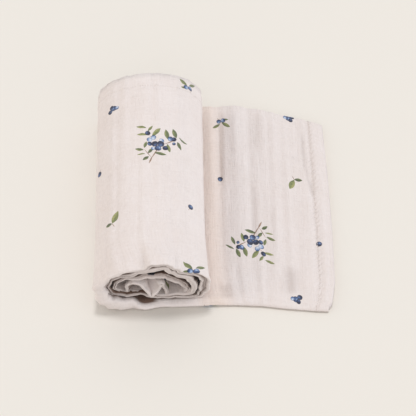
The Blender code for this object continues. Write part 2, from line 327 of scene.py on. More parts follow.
def hump(value, span):
    """1 where a value is in the middle of a hump and 0 beyond its ends, given as the middle and the half
    length."""
    middle, half_length = span
    return bump((value - middle) / half_length)


def read_table(rows, at, column):
    """One column of a table, between the values in its first column."""
    columns = np.array(rows).T
    return np.interp(at, columns[0], columns[column])


def steps_to(steps):
    """Lengths from 0, at the step that each row of the table gives up to its own length."""
    lengths = [0.0]
    for end, step in steps:
        count = max(1, round((end - lengths[-1]) / step))
        lengths += list(np.linspace(lengths[-1], end, count + 1)[1:])
    return np.array(lengths)


def curve_through(rows, at):
    """The other columns of a table at values of its first one, on smooth curves through its rows: cubics
    that take their slope at each row from the rows beside it."""
    columns = np.array(rows).T
    knots = columns[0]
    slot = np.clip(np.searchsorted(knots, at) - 1, 0, len(knots) - 2)
    span = knots[slot + 1] - knots[slot]
    share = np.clip((at - knots[slot]) / span, 0.0, 1.0)
    curves = []
    for column in columns[1:]:
        slope = np.gradient(column, knots)
        start, end = column[slot], column[slot + 1]
        leave, arrive = slope[slot] * span, slope[slot + 1] * span
        bend = share * (1 - share)
        curves.append(
            start + (end - start) * smooth(share)
            + bend * ((1 - share) * leave - share * arrive)
        )
    return curves


def wound(past_middle, turns, height):
    """A point of the strip's section: on the floor at past_middle from the roll's middle, or that many
    turns up a flattened spiral whose wraps lie WRAP_PITCH apart. height is measured from the strip's
    underside, which becomes the roll's outside, and goes inwards."""
    depth = WRAP_PITCH * turns + height
    angle = -np.pi / 2 - 2 * np.pi * turns  # starts at the roll's underside and goes up its left side
    across, up = np.cos(angle), np.sin(angle)
    below = (ROLL_BOTTOM - depth) * up * (1 + BOTTOM_SQUARENESS * across**2)
    above = (ROLL_TOP - depth) * up
    x = ROLL_X + past_middle + (ROLL_HALF_WIDTH - depth) * across
    return x, ROLL_BOTTOM + np.where(up < 0, below, above)


def station(along):
    """Where the strip is at a distance along it: how far past the roll's middle it lies on the floor, and
    the turns it has made. The turns come from the length of the spiral's middle line."""
    turns = np.linspace(0, MOST_TURNS, SPIRAL_SAMPLES)
    x, z = wound(0.0, turns, STACK / 2)
    wound_length = np.concatenate([[0.0], np.cumsum(np.hypot(np.diff(x), np.diff(z)))])
    flat = FLAT_END_X - ROLL_X
    return np.maximum(flat - along, 0.0), np.interp(along - flat, wound_length, turns)


def folded(across):
    """The folded strip's section at a distance across the cloth: the share of the strip's width from its
    near edge, what is added to that, and the height above its underside. Four plies lie at their levels,
    and each fold between them is half a circle whose arc is centred on its quarter of the cloth."""
    climbs = np.diff(PLY_LEVELS)
    radii = np.abs(climbs) * LAYER_PITCH / 2
    backs = [FREE_SETBACKS[0], *np.add(FOLD_SETBACKS, radii), FREE_SETBACKS[1]]
    knots = []
    for ply, level in enumerate(PLY_LEVELS):
        leaves, meets = (1.0, 0.0) if ply % 2 == 0 else (0.0, 1.0)
        start, end = ply * STRIP_WIDTH, (ply + 1) * STRIP_WIDTH
        if ply > 0:
            start += np.pi / 2 * radii[ply - 1]
        if ply < LAST_PLY:
            end -= np.pi / 2 * radii[ply]
        knots.append((start, leaves, (1 - 2 * leaves) * backs[ply], level * LAYER_PITCH))
        knots.append((end, meets, (1 - 2 * meets) * backs[ply + 1], level * LAYER_PITCH))
        if ply < LAST_PLY:
            for angle in np.linspace(0, np.pi, FOLD_KNOTS + 1)[1:-1]:
                knots.append((
                    end + radii[ply] * angle, meets,
                    (1 - 2 * meets) * (backs[ply + 1] - radii[ply] * np.sin(angle)),
                    level * LAYER_PITCH + np.sign(climbs[ply]) * radii[ply] * (1 - np.cos(angle)),
                ))
    at, share, offset, height = np.array(knots).T
    return [np.interp(across, at, column) for column in (share, offset, height)]


def from_near_edge(across):
    """How far a distance across the cloth lies from the folded strip's near edge."""
    share, offset, _ = folded(across)
    return share * STRIP_WIDTH + offset


def creased(creases, along, inside):
    """The sum of soft strokes: each rises as a bell curve of the distance from a straight line between
    two points, and dies away past the line's ends."""
    rise = np.zeros(np.broadcast(along, inside).shape)
    for along_0, in_0, along_1, in_1, height, half_width in creases:
        run, across = along_1 - along_0, in_1 - in_0
        length = math.hypot(run, across)
        share = ((along - along_0) * run + (inside - in_0) * across) / length**2
        nearest = np.clip(share, 0.0, 1.0)
        off = np.hypot(along - along_0 - nearest * run, inside - in_0 - nearest * across)
        ends = rising(share, (-CREASE_RUNOUT, 2 * CREASE_RUNOUT))
        ends = ends * rising(1 - share, (-CREASE_RUNOUT, 2 * CREASE_RUNOUT))
        rise = rise + height * ends * np.exp(-((off / half_width) ** 2))
    return rise


def pleated(along, inside):
    """The soft pleats that washing leaves in muslin: sines along the strip, whose phase drifts with the
    distance from the near edge."""
    rise = 0.0
    for spacing, phase, drift, height in PLEATS:
        rise = rise + height * np.sin(2 * np.pi * along / spacing + phase + drift * inside)
    return rise


def wrinkled(along, inside):
    """Wrinkles: each rises to a sharp crest where a sine over a slanting distance passes through 0, and
    they fade from the near edge to a small share of themselves."""
    rise = 0.0
    for spacing, heading, phase, height in WRINKLES:
        run = along * math.cos(heading) + inside * math.sin(heading)
        sine = np.sin(np.pi * run / spacing + phase + WRINKLE_DRIFT * inside)
        rise = rise + height * (MEAN_SINE - np.abs(sine))
    return rise * (WRINKLES_INSIDE + (1 - WRINKLES_INSIDE) * np.exp(-((inside / WRINKLE_REACH) ** 2)))


def ridge_lift(x, y):
    """How many times its own height the flat strip stands, as bell curves across the part's X."""
    off_roll = rising(x, RIDGES_SPAN)
    towards_far = np.clip(y / STRIP_WIDTH + 0.5, 0.0, 1.0)
    lift = 1.0
    for middle_x, half_width, near_rise, far_rise, lean in RIDGES:
        rise = near_rise + (far_rise - near_rise) * towards_far
        lift = lift + off_roll * rise * np.exp(-(((x - middle_x - lean * y) / half_width) ** 2))
    return lift


def buckled(x, y, z):
    """The wraps' sag into the hollow core, strongest at the near end. Each buckle moves points up or down
    by a hump over x and z, and its slope stays under 1, so the layers keep their order."""
    near = 1 - smooth((y + STRIP_WIDTH / 2) / BUCKLE_LENGTH)
    strength = BUCKLE_INSIDE + (1 - BUCKLE_INSIDE) * near
    for middle_x, middle_z, reach_x, reach_down, reach_up, lift in BUCKLES:
        reach_z = np.where(z < middle_z, reach_down, reach_up)
        z = z + strength * lift * bump((x - middle_x) / reach_x) * bump((z - middle_z) / reach_z)
    return z


def crumpled(x, y, z):
    """Small pushes that soften the regular spiral at both ends of the roll. Each moves the points around
    it by a bell curve of their distance in x and z, and dies away into the roll."""
    draw = np.random.default_rng(CRUMPLE_SEED)
    in_roll = rising(z, CRUMPLES_LOW_SPAN) * (1 - rising(z, CRUMPLES_HIGH_SPAN))
    for _ in range(CRUMPLES):
        angle, radius = draw.uniform(0, 2 * np.pi), math.sqrt(draw.uniform(0.0, 1.0))
        middle_x = ROLL_X + CRUMPLE_HALF_WIDTH * radius * math.cos(angle)
        middle_z = CRUMPLE_MIDDLE + CRUMPLE_HALF_HEIGHT * radius * math.sin(angle)
        reach, turn = draw.uniform(*CRUMPLE_REACH), draw.uniform(0, 2 * np.pi)
        push, deep = draw.uniform(*CRUMPLE_PUSH) * reach, draw.uniform(*CRUMPLE_DEPTH)
        side = -1 if draw.uniform() < CRUMPLED_FAR_END else 1
        fade = 1 - smooth((STRIP_WIDTH / 2 + side * y) / deep)
        amount = push * in_roll * np.exp(-(((x - middle_x) ** 2 + (z - middle_z) ** 2) / reach**2)) * fade
        x, z = x + amount * math.cos(turn), z + amount * math.sin(turn)
    return x, z


def flared(x, y):
    """The roll widens towards its near end: x is scaled from the roll's middle by a table over y."""
    from_middle = x - ROLL_X
    side = np.where(from_middle < 0, read_table(ROLL_SIDES, y, 1), read_table(ROLL_SIDES, y, 2))
    keep = 1 - smooth((from_middle - ROLL_HALF_WIDTH) / ROLL_HALF_WIDTH)
    return x + side * from_middle * keep


def near_end_path():
    """NEAR_END as rows of along, x, z, near_y and fullness. A point's place along the strip is known where a
    stretch begins and at the cloth's end, and shares out the path's length in between."""
    points = np.array([point for _, stretch in NEAR_END for point in stretch])
    length = np.concatenate(([0.0], np.cumsum(np.hypot(*np.diff(points[:, :2], axis=0).T))))
    starts = np.cumsum([0] + [len(stretch) for _, stretch in NEAR_END[:-1]])
    places = [place for place, _ in NEAR_END]
    along = np.interp(length, np.append(length[starts], length[-1]), places + [CLOTH_SIDE])
    return np.column_stack((along, points))


NEAR_PATH = near_end_path()


def near_end(along, height):
    """The strip's section at the roll's near end: each layer lies beside a drawn middle line, on its
    normal, by its height above the middle of the stack."""
    along = np.clip(along, NEAR_PATH[0, 0] + NUDGE, CLOTH_SIDE - NUDGE)
    before = curve_through(NEAR_PATH, along - NUDGE)
    after = curve_through(NEAR_PATH, along + NUDGE)
    run, climb = after[0] - before[0], after[1] - before[1]
    length = np.hypot(run, climb)
    x, z = (before[0] + after[0]) / 2, (before[1] + after[1]) / 2
    off = height - TOP_LEVEL / 2
    return x + off * climb / length, z - off * run / length


def cloth_at(along, across):
    """The rolled cloth's middle surface at a distance along the strip and a distance across the cloth. The
    folded section's height is thinned or swollen at the near edge and lifted by the creases, the point is
    wound into the spiral, and near the near end it is then pulled to the drawn path."""
    past_middle, turns = station(along)
    on_floor, rolled = rising(past_middle, ON_FLOOR_SPAN), rising(turns, ROLLED_SPAN)
    share, offset, height = folded(across)
    drawn = rising(along, NEAR_END_SPAN)
    _, _, drawn_y, fullness = curve_through(NEAR_PATH, along)
    near_y, far_y = read_table(STRIP_EDGES, along, 1), read_table(STRIP_EDGES, along, 2)
    near_y = near_y + drawn * (drawn_y - near_y)
    dent = read_table(DENTS, along, 1) * np.exp(-(((across - STRIP_WIDTH) / DENT_HALF_WIDTH) ** 2))
    inside = share * (far_y - near_y) + offset + dent
    y = near_y + inside

    outer_fullness = read_table(OUTER_FULLNESS, along, 1)
    fullness = outer_fullness + drawn * (fullness - outer_fullness)
    at_edge = 1 - smooth(inside / FULLNESS_REACH)
    centre = TOP_LEVEL / 2 * (1 - on_floor)
    puff = np.maximum(fullness - 1, 0.0) * (1 - drawn)
    height = centre + (height - centre) * (1 - (1 - fullness + puff) * at_edge)
    height = height * (1 + puff * (1 - smooth(inside / PUFF_REACH)))

    pleats = pleated(along, inside)
    rise = creased(FLAT_CREASES, along, inside) + pleats
    lift = ridge_lift(ROLL_X + past_middle, y) + rise / TOP_LEVEL
    height = height * (1 + on_floor * (lift - 1))
    rise = creased(ROLL_CREASES, along, inside) + pleats
    height = height - rolled * (rise * (1 - height / TOP_LEVEL) + wrinkled(along, inside))

    x, z = wound(past_middle, turns, CLOTH_THICK / 2 + height)
    x = x - read_table(HEMMED_END, share, 1) * (1 - smooth(along / END_REACH))
    z = buckled(x, y, z)
    x = flared(x, y)
    near_x, near_z = near_end(along, height)
    pull = drawn * (1 - smooth(inside / NEAR_END_DEPTH))
    x, z = crumpled(x + pull * (near_x - x), y, z + pull * (near_z - z))
    return np.stack(np.broadcast_arrays(x, y, z), axis=-1) + np.array(TO_ORIGIN)


def on_flat_top(along, across):
    """1 on top of the flat end, which fades to 0 under the roll."""
    past_middle, _ = station(along)
    return (across > STRIP_WIDTH) * (across < 2 * STRIP_WIDTH) * rising(past_middle, ON_FLOOR_SPAN)


def trough_share(along, across):
    """How deep each point lies in the troughs on top of the flat end."""
    depth = -creased(FLAT_CREASES, along, from_near_edge(across))
    return np.clip(depth / DEEP_TROUGH, 0.0, 1.0) * on_flat_top(along, across)


def painted_shade_share(along, across):
    """How much painted shade each point of the cloth takes where it lies in a crevice: in the dents of the
    near fold, between the wraps from a few millimetres in, and in the troughs of the flat end."""
    _, turns = station(along)
    inside = from_near_edge(across)
    outside = across < STRIP_WIDTH
    dent = np.minimum(read_table(DENTS, along, 1) / DENT_SHADED, 1.0)
    dent = dent * np.exp(-(((across - STRIP_WIDTH) / DENT_SHADE_WIDTH) ** 2))

    core, third_wrap = rising(along, CORE_SPAN), rising(along, THIRD_WRAP_SPAN)
    lighter = np.maximum(CORE_INSIDE * core, THIRD_WRAP_INSIDE * third_wrap)
    lighter = np.maximum(lighter, RIGHT_INSIDE * hump(along, RIGHT_HUMP))
    lighter = np.where(outside, CORE_OUTSIDE * core, lighter)
    deep = DEEP_LIGHT * rising(inside, DEEP_SPAN) * rising(along, PAST_VALLEY_SPAN)
    covered = np.where(outside, rising(turns, OUTSIDE_COVERED_SPAN), rising(along, INSIDE_COVERED_SPAN))
    covered = covered * (1 - lighter) * (1 - deep) * (1 - rising(inside, FAR_EDGE_SPAN))
    lip = read_table(CREVICE_LIPS, along, 1) - INNER_LIP * (across > STRIP_WIDTH) * (turns > 0.5)
    covered = covered * smooth((inside - lip) / LIP_BLEND)
    return np.maximum(np.maximum(dent, TROUGH_SHADE * trough_share(along, across)), covered)


def glow_share(along, across):
    """How much painted warm light the flat end's colour takes, as if bounced from the roll beside it, most
    in a trough.
    """
    beside_roll = ROLL_GLOW * hump(along, ROLL_GLOW_HUMP) * on_flat_top(along, across)
    in_trough = TROUGH_GLOW * hump(along, TROUGH_GLOW_HUMP) * trough_share(along, across)
    return np.maximum(beside_roll, in_trough)


def crinkle_share(along, across):
    """How crumpled the weave is: most at the roll's near end and on its left flank, a little elsewhere."""
    _, turns = station(along)
    at_end = np.exp(-((from_near_edge(across) / CRINKLED_END_DEPTH) ** 2)) * rising(turns, CRINKLED_END_SPAN)
    flank = FLANK_CRINKLE * hump(turns, CRINKLED_FLANK_HUMP)
    return np.maximum(np.maximum(at_end, flank), LEAST_CRINKLE)


def slipped(along, across):
    """Where the print lies. The weave gives a little as the cloth is folded, so the motifs stand off their
    even repeat: each slip moves the print around one place by a bell curve of the distance from it, and
    the creep moves it along in the inner wraps."""
    u, v = along + read_table(CREEP, along, 1), across
    for at, down, further, deeper in SLIPS:
        share = np.exp(-(((along - at) ** 2 + (across - down) ** 2) / SLIP_REACH**2))
        u, v = u + share * further, v + share * deeper
    return u, v


def sewn_round(inset, spacing):
    """Places a spacing apart on a seam that runs round the flat cloth at an inset, and the seam's heading
    there: along and across."""
    length = CLOTH_SIDE - 2 * inset
    count = round(length / spacing)
    run = inset + (np.arange(count) + 0.5) * length / count
    low, high = np.full(count, inset), np.full(count, CLOTH_SIDE - inset)
    along, across = np.concatenate([run, run, low, high]), np.concatenate([low, high, run, run])
    heading = np.repeat([1.0, 0.0], 2 * count)
    return along, across, heading, 1 - heading


def stitches(spacing, off_cloth):
    """The hem's stitches: each is a bead of thread that lies along the seam on the cloth's printed side
    and dips into it at both ends. Its points go round in rings, in the plane of the cloth's normal and the
    way across the seam, and the rings' size and lift come from a profile."""
    along, across, head_along, head_across = sewn_round(SEAM_INSET, spacing)
    middle = cloth_at(along, across)
    forward = cloth_at(along + NUDGE * head_along, across + NUDGE * head_across) - middle
    out = np.cross(cloth_at(along, across + NUDGE) - middle, cloth_at(along + NUDGE, across) - middle)
    forward, out = [way / np.linalg.norm(way, axis=-1, keepdims=True) for way in (forward, out)]
    sideways = np.cross(forward, out)
    at, thick, lift = np.array(STITCH_PROFILE).T
    turn = np.arange(STITCH_SIDES) * 2 * np.pi / STITCH_SIDES
    radius = THREAD_RADIUS * thick[:, None]
    up = off_cloth + THREAD_RADIUS * lift[:, None] + radius * np.sin(turn)
    wide = radius * np.cos(turn)
    length = STITCH_FILL / 2 * spacing * at[:, None]
    points = (
        middle[:, None, None] + length[..., None] * forward[:, None, None]
        + up[..., None] * out[:, None, None] + wide[..., None] * sideways[:, None, None]
    )
    ring, side = np.meshgrid(np.arange(len(at) - 1), np.arange(STITCH_SIDES), indexing="ij")
    here, beside = ring * STITCH_SIDES + side, ring * STITCH_SIDES + (side + 1) % STITCH_SIDES
    one = np.stack([here, beside, beside + STITCH_SIDES, here + STITCH_SIDES], axis=-1)
    starts = np.arange(len(middle))[:, None, None] * len(at) * STITCH_SIDES
    return points, (one.reshape(1, -1, 4) + starts).reshape(-1, 4)


def across_steps():
    """Distances across the whole cloth: close together by the near folds, on the fold arcs, and on the
    two plies that show."""
    at = []
    for ply in range(len(PLY_LEVELS)):
        from_near = steps_to(PLY_STEPS if ply < 2 else INNER_PLY_STEPS)
        near, away = (ply + 1, -1) if ply % 2 == 0 else (ply, 1)
        at += list(near * STRIP_WIDTH + away * from_near)
    for quarter, levels, steps in FOLD_STEPS:
        middle, half = quarter * STRIP_WIDTH, np.pi / 2 * levels * LAYER_PITCH / 2
        at = [a for a in at if abs(a - middle) > half + FOLD_CLEARANCE]
        at += list(np.linspace(middle - half, middle + half, steps + 1))
    return np.unique(np.round(np.clip(at, 0, CLOTH_SIDE), 6))


# ---------------------------------------------------------------------------------------------------------
# Shader maths, written as Python expressions.
MIX_SOCKETS = {"RGBA": (6, 7, 2), "VECTOR": (4, 5, 1)}  # a Mix node's inputs A and B and its result


class Sock:
    """A socket, whose operators add Math nodes to its tree."""

    def __init__(self, tree, socket):
        self.tree, self.socket = tree, socket

    def _math(self, operation, *values, clamp=False):
        return self.tree.add("ShaderNodeMath", {"operation": operation, "use_clamp": clamp}, *values)

    def __add__(self, other):
        return self._math("ADD", self, other)

    def __sub__(self, other):
        return self._math("SUBTRACT", self, other)

    def __mul__(self, other):
        return self._math("MULTIPLY", self, other)

    def __truediv__(self, other):
        return self._math("DIVIDE", self, other)

    def __rsub__(self, other):
        return self._math("SUBTRACT", other, self)

    def __rtruediv__(self, other):
        return self._math("DIVIDE", other, self)

    def __neg__(self):
        return self._math("MULTIPLY", self, -1.0)

    __radd__, __rmul__ = __add__, __mul__

    def times_plus(self, factor, added, clamp=False):
        """This value times a factor, plus another one."""
        return self._math("MULTIPLY_ADD", self, factor, added, clamp=clamp)

    def do(self, operation, *values):
        """Any other operation of the Math node."""
        return self._math(operation, self, *values)

    def within(self):
        """This value, kept from 0 to 1."""
        return self._math("ADD", self, 0.0, clamp=True)


class Tree:
    """A material's node tree, with one method that adds any node."""

    def __init__(self, name):
        self.material = bpy.data.materials.new(name)
        self.material.use_nodes = True
        self.nodes = self.material.node_tree.nodes
        self.links = self.material.node_tree.links
        self.shader = self.nodes["Principled BSDF"]

    def add(self, kind, settings, *values, out=0):
        """Adds a node: its settings and a ramp's stops first, then its inputs, in order or by name, as
        numbers or links. Gives one of its outputs, by number or by name."""
        node = self.nodes.new(kind)
        for name, value in settings.items():
            if name == "stops":
                self.set_stops(node.color_ramp.elements, value)
            elif name != "inputs":
                setattr(node, name, value)
        for key, value in list(enumerate(values)) + list(settings.get("inputs", {}).items()):
            self.plug(value, node.inputs[key])
        return Sock(self, node.outputs[out])

    def plug(self, value, socket):
        """Links a value to a node's input, or sets the input to it."""
        if isinstance(value, Sock):
            self.links.new(value.socket, socket)
        elif value is not None:
            socket.default_value = value

    def parts(self, vector):
        """The X, Y and Z of a vector."""
        first = self.add("ShaderNodeSeparateXYZ", {}, vector)
        return [Sock(self, output) for output in first.socket.node.outputs]

    def joined(self, x, y, z=0.0):
        """A vector from its X, Y and Z."""
        return self.add("ShaderNodeCombineXYZ", {}, x, y, z)

    def vector_math(self, operation, first, second):
        """A number that Vector Math works out from two vectors."""
        return self.add("ShaderNodeVectorMath", {"operation": operation}, first, second, out="Value")

    def noise(self, vector, scale, detail, roughness):
        """Noise, which is 0.5 on average."""
        inputs = {"Vector": vector, "Scale": scale, "Detail": detail, "Roughness": roughness}
        return self.add("ShaderNodeTexNoise", {"inputs": inputs})

    def mix(self, share, first, second, blend="MIX", kind="RGBA"):
        """Two colours, or two vectors, mixed, the second by its share."""
        input_a, input_b, result = MIX_SOCKETS[kind]
        inputs = {0: share, input_a: first, input_b: second}
        settings = {"data_type": kind, "blend_type": blend, "inputs": inputs}
        return self.add("ShaderNodeMix", settings, out=result)

    def set_stops(self, elements, stops):
        """A ramp's stops, given as position, red, green and blue."""
        while len(elements) < len(stops):
            elements.new(0.5)
        for element, (position, *colour) in zip(elements, stops):
            element.position, element.color = position, linear(*colour)

    def ramp(self, share, stops):
        """The colour at a place on a ramp."""
        return self.add("ShaderNodeValToRGB", {"stops": stops}, share)

    def bump(self, strength, distance, height):
        """Lets a height shape the surface's light."""
        inputs = {"Strength": strength, "Distance": distance, "Height": height}
        self.plug(self.add("ShaderNodeBump", {"inputs": inputs}), self.shader.inputs["Normal"])


def linear(red, green, blue):
    """A colour given as 0 to 255 on a screen, as the shader's linear colour."""
    def one(value):
        value /= 255
        return value / 12.92 if value <= 0.04045 else ((value + 0.055) / 1.055) ** 2.4
    return one(red), one(green), one(blue), 1.0


# ---------------------------------------------------------------------------------------------------------
# The print, in millimetres: a cell that repeats along the cloth, every second one moved half a repeat.
MILLIMETRES = 1000.0  # in a metre
CELL_ALONG = 163.5
CELL_ACROSS = 280.0
HALF_DROP = CELL_ACROSS / 2
# Middles of the motifs in a cell.
SPRIG, PAIR, TRIO = (106.0, -110.0), (148.0, -17.0), (45.0, -36.0)
BERRY_A, BERRY_B, TWIN_LEAF = (148.0, -204.0), (12.0, -123.0), (45.0, -212.0)

STEMS = (  # motif, x_0, y_0, x_1, y_1, half_width
    (SPRIG, -16, -30, -11.5, -17, 1.0), (SPRIG, -13, -21, -4, -4, 0.85), (SPRIG, -13, -19, -21.5, -6, 0.55),
    (SPRIG, 3, 3, 20, 12.5, 0.7), (SPRIG, -16, 15, -8, 12, 0.4), (SPRIG, -17, 20, -15, 27, 0.4),
    (PAIR, 2.5, -1.5, 4.5, -7.5, 0.35), (TWIN_LEAF, -1, -2, 2.5, -9, 0.4),
    (BERRY_A, -1.5, -3, -3.5, -5.5, 0.35), (BERRY_B, 0.5, 3, 2.5, 6.5, 0.3),
)
LEAVES = (  # motif, x_0, y_0, x_1, y_1, half_width, tone
    (SPRIG, -22, -7.5, -33.5, -4, 2.1, 0.45), (SPRIG, -20, -13.5, -31, -13.5, 1.2, 0.75),
    (SPRIG, -16, -17.5, -23.5, -24.5, 2.2, 0.25), (SPRIG, -17, -12.5, -10.5, -3, 2.0, 0.3),
    (SPRIG, -21.5, -4, -18.5, 6, 1.9, 0.45), (SPRIG, -9, -11.5, 6, -14, 2.5, 0.35),
    (SPRIG, -18.5, 26, -31, 30, 1.8, 0.7), (SPRIG, -17, 16, -30.5, 17.5, 1.8, 0.8),
    (SPRIG, -17, 21.5, -11, 29.5, 1.6, 0.6), (SPRIG, -12, 14, -1.5, 25.5, 2.8, 0.7),
    (SPRIG, 8, 11, 5, 24.5, 3.0, 0.5), (SPRIG, 18.5, 13.5, 14, 26, 2.7, 0.4),
    (SPRIG, 21, 14.5, 33, 7, 1.3, 0.3), (SPRIG, 19.5, 8, 24.5, -4, 2.2, 0.35),
    (SPRIG, 7, 4, 10.5, -9, 2.5, 0.6),
    (PAIR, -1, 1, -13, 9.5, 2.6, 0.6), (PAIR, 1.5, 2, 11, 10.5, 2.0, 0.45),
    (PAIR, -2, -3.5, -10.5, -3.2, 1.5, 0.4),
    (TWIN_LEAF, -0.5, -2.5, 6.5, 13.5, 3.8, 0.75), (TWIN_LEAF, -0.5, -3, -11.5, -3.5, 2.6, 0.25),
)
BERRIES = (  # motif, x, y, radius, degrees turned, tone
    (SPRIG, -15, 9, 3.3, 200, 0.92), (SPRIG, 0, 8, 3.2, 40, 0.95), (SPRIG, -10, 12.5, 3.3, 120, 0.85),
    (SPRIG, -17, 18.5, 3.2, 30, 0.15), (SPRIG, -10.5, -4, 2.7, 250, 0.85), (SPRIG, -14.5, 3, 3.1, 80, 0.3),
    (SPRIG, -8.5, 3, 4.0, 160, 0.12), (SPRIG, 4.5, -3, 3.5, 310, 0.08), (SPRIG, -1, 3.2, 4.4, 140, 0.24),
    (SPRIG, -4.5, -4, 4.2, 260, 0.45), (SPRIG, 11, 12, 3.4, 100, 0.6), (SPRIG, 15.5, 11.5, 3.0, 20, 0.12),
    (SPRIG, 15.5, 5, 2.2, 330, 0.4),
    (PAIR, -3, -2, 3.2, 210, 0.60), (PAIR, 3, -1.5, 3.1, 330, 0.52),
    (TRIO, -3.0, -2.6, 3.5, 240, 0.2), (TRIO, 2.5, 1, 3.8, 30, 0.45), (TRIO, 6.5, 0.5, 2.6, 300, 0.75),
    (TRIO, -1, 3.5, 3.0, 120, 0.15),
    (BERRY_A, 0, 0, 3.6, 290, 0.35), (BERRY_B, 0, 0, 3.8, 100, 0.3),
)
EDGE_SOFTNESS = 0.32
WASH, SPECKS = (420.0, 3.0, 0.6), (1700.0, 2.0, 0.6)  # noise: its scale, detail and roughness
STEM_COVER, LEAF_COVER, BERRY_COVER = 0.90, 0.95, 0.96
RIB_SHARPNESS, VEINS, VEIN_SLANT = 9.0, 9.0, 7.0
SIDE_SHARPNESS, SIDE_FROM = 1.6, 0.35
SHINE_PLACE, SHINE_LIGHT = (-0.30, 0.38, 0.0), 0.32
CROWN_PLACE, CROWN_RADIUS, CROWN_SHARPNESS, CROWN_PEAK = (0.42, 0.0, 0.0), 0.26, 9.0, 1.3
RIM_FROM = 0.55
# How much each of these lightens or darkens a leaf or a berry.
LEAF_TONE, LEAF_SIDE, LEAF_TIP, LEAF_WASH, LEAF_VEINS, LEAF_RIB = 0.7, 0.22, 0.08, 0.9, 0.035, 0.14
BERRY_SHINE, BERRY_WASH, BERRY_SPECKS, BERRY_CROWN, BERRY_RIM = 0.50, 0.9, 0.2, 0.22, 0.85
# Paint from dark to light: place on the ramp, and red, green and blue as on a screen.
BARK_PAINT = ((0.3, 112, 84, 66), (0.7, 172, 140, 116))
LEAF_PAINT = ((0.0, 52, 64, 46), (0.3, 92, 104, 66), (0.62, 132, 138, 84), (1.0, 186, 180, 118))
BERRY_PAINT = (
    (0.0, 26, 35, 60), (0.25, 48, 66, 104), (0.5, 80, 107, 152), (0.75, 150, 172, 206), (1.0, 208, 214, 226),
)


def shape_frame(tree, place, motif, x, y, turned, half_length, half_width, tone):
    """Coordinates that run from -1 to 1 over a shape of the print, with its tone as their Z."""
    settings = {"vector_type": "TEXTURE", "inputs": {
        1: (motif[0] + x, motif[1] + y, -tone), 2: (0.0, 0.0, turned), 3: (half_length, half_width, 1.0),
    }}
    return tree.add("ShaderNodeMapping", settings, place)


def pointed(tree, place, motif, x_0, y_0, x_1, y_1, half_width, tone):
    """A leaf or a stem: it covers where |y| + x squared is under 1, between two points."""
    half_length = math.hypot(x_1 - x_0, y_1 - y_0) / 2
    turned = math.atan2(y_1 - y_0, x_1 - x_0)
    local = shape_frame(
        tree, place, motif, (x_0 + x_1) / 2, (y_0 + y_1) / 2, turned, half_length, half_width, tone
    )
    x, y, _ = tree.parts(local)
    sharp = half_width / EDGE_SOFTNESS
    cover = x.times_plus(x, y.do("ABSOLUTE")).times_plus(-sharp, sharp + 0.5, clamp=True)
    return local, cover


def rounded(tree, place, motif, x, y, radius, turned, tone):
    """A berry: it covers where x squared + y squared is under 1. The tone, which is z, is taken off the
    vector's square again."""
    local = shape_frame(tree, place, motif, x, y, math.radians(turned), radius, radius, tone)
    dot = tree.vector_math("DOT_PRODUCT", local, local)
    sharp = radius / EDGE_SOFTNESS / 2
    return local, dot.times_plus(-sharp, sharp * (1 + tone**2) + 0.5, clamp=True)


def painted(tree, place, shape, rows):
    """Shapes over one another: the top one's coordinates, and the cover of them all."""
    top, cover = None, None
    for row in rows:
        local, one = shape(tree, place, *row)
        top = local if top is None else tree.mix(one, top, local, kind="VECTOR")
        cover = one if cover is None else cover.do("MAXIMUM", one)
    return tree.parts(top), cover


def print_over(tree, cloth, uv):
    """The blueberry print over the cloth's colour. The place in a cell is the remainder of the lengths on
    the flat cloth, and stems, leaves and berries are laid over one another. A leaf's paint goes by its
    tone, the side of its rib, its veins and the wash, and a berry's by its tone, the distance from its
    shine, the ring of its crown, its rim and the wash."""
    along, across, _ = tree.parts(uv)
    along = along * MILLIMETRES
    cell = (along / CELL_ALONG).do("FLOOR")
    dropped = cell.do("FLOORED_MODULO", 2.0) * HALF_DROP
    down = (across * MILLIMETRES + dropped).do("FLOORED_MODULO", CELL_ACROSS)
    place = tree.joined(along - cell * CELL_ALONG, -down)
    wash, specks = tree.noise(uv, *WASH), tree.noise(uv, *SPECKS)

    _, cover = painted(tree, place, pointed, [row + (0.0,) for row in STEMS])
    colour = tree.mix(cover * STEM_COVER, cloth, tree.ramp(wash, BARK_PAINT))

    (x, y, tone), cover = painted(tree, place, pointed, LEAVES)
    rib = y.do("ABSOLUTE").times_plus(-RIB_SHARPNESS, 1.0, clamp=True)
    veins = (x * VEINS - y.do("ABSOLUTE") * VEIN_SLANT).do("SINE")
    light = tone * LEAF_TONE + (y * SIDE_SHARPNESS + SIDE_FROM).within() * LEAF_SIDE + x * LEAF_TIP
    light = light + (wash - 0.5) * LEAF_WASH + veins * LEAF_VEINS - rib * LEAF_RIB
    colour = tree.mix(cover * LEAF_COVER, colour, tree.ramp(light, LEAF_PAINT))

    (x, y, tone), cover = painted(tree, place, rounded, BERRIES)
    spot = tree.joined(x, y)
    off_shine = tree.vector_math("DISTANCE", spot, SHINE_PLACE)
    off_crown = (tree.vector_math("DISTANCE", spot, CROWN_PLACE) - CROWN_RADIUS).do("ABSOLUTE")
    crown = off_crown.times_plus(-CROWN_SHARPNESS, CROWN_PEAK, clamp=True)
    rim = ((x * x + y * y) - RIM_FROM).within()
    light = tone + off_shine.times_plus(-BERRY_SHINE, SHINE_LIGHT) + (wash - 0.5) * BERRY_WASH
    light = light + (specks - 0.5) * BERRY_SPECKS - crown * BERRY_CROWN - rim * BERRY_RIM
    return tree.mix(cover * BERRY_COVER, colour, tree.ramp(light, BERRY_PAINT))


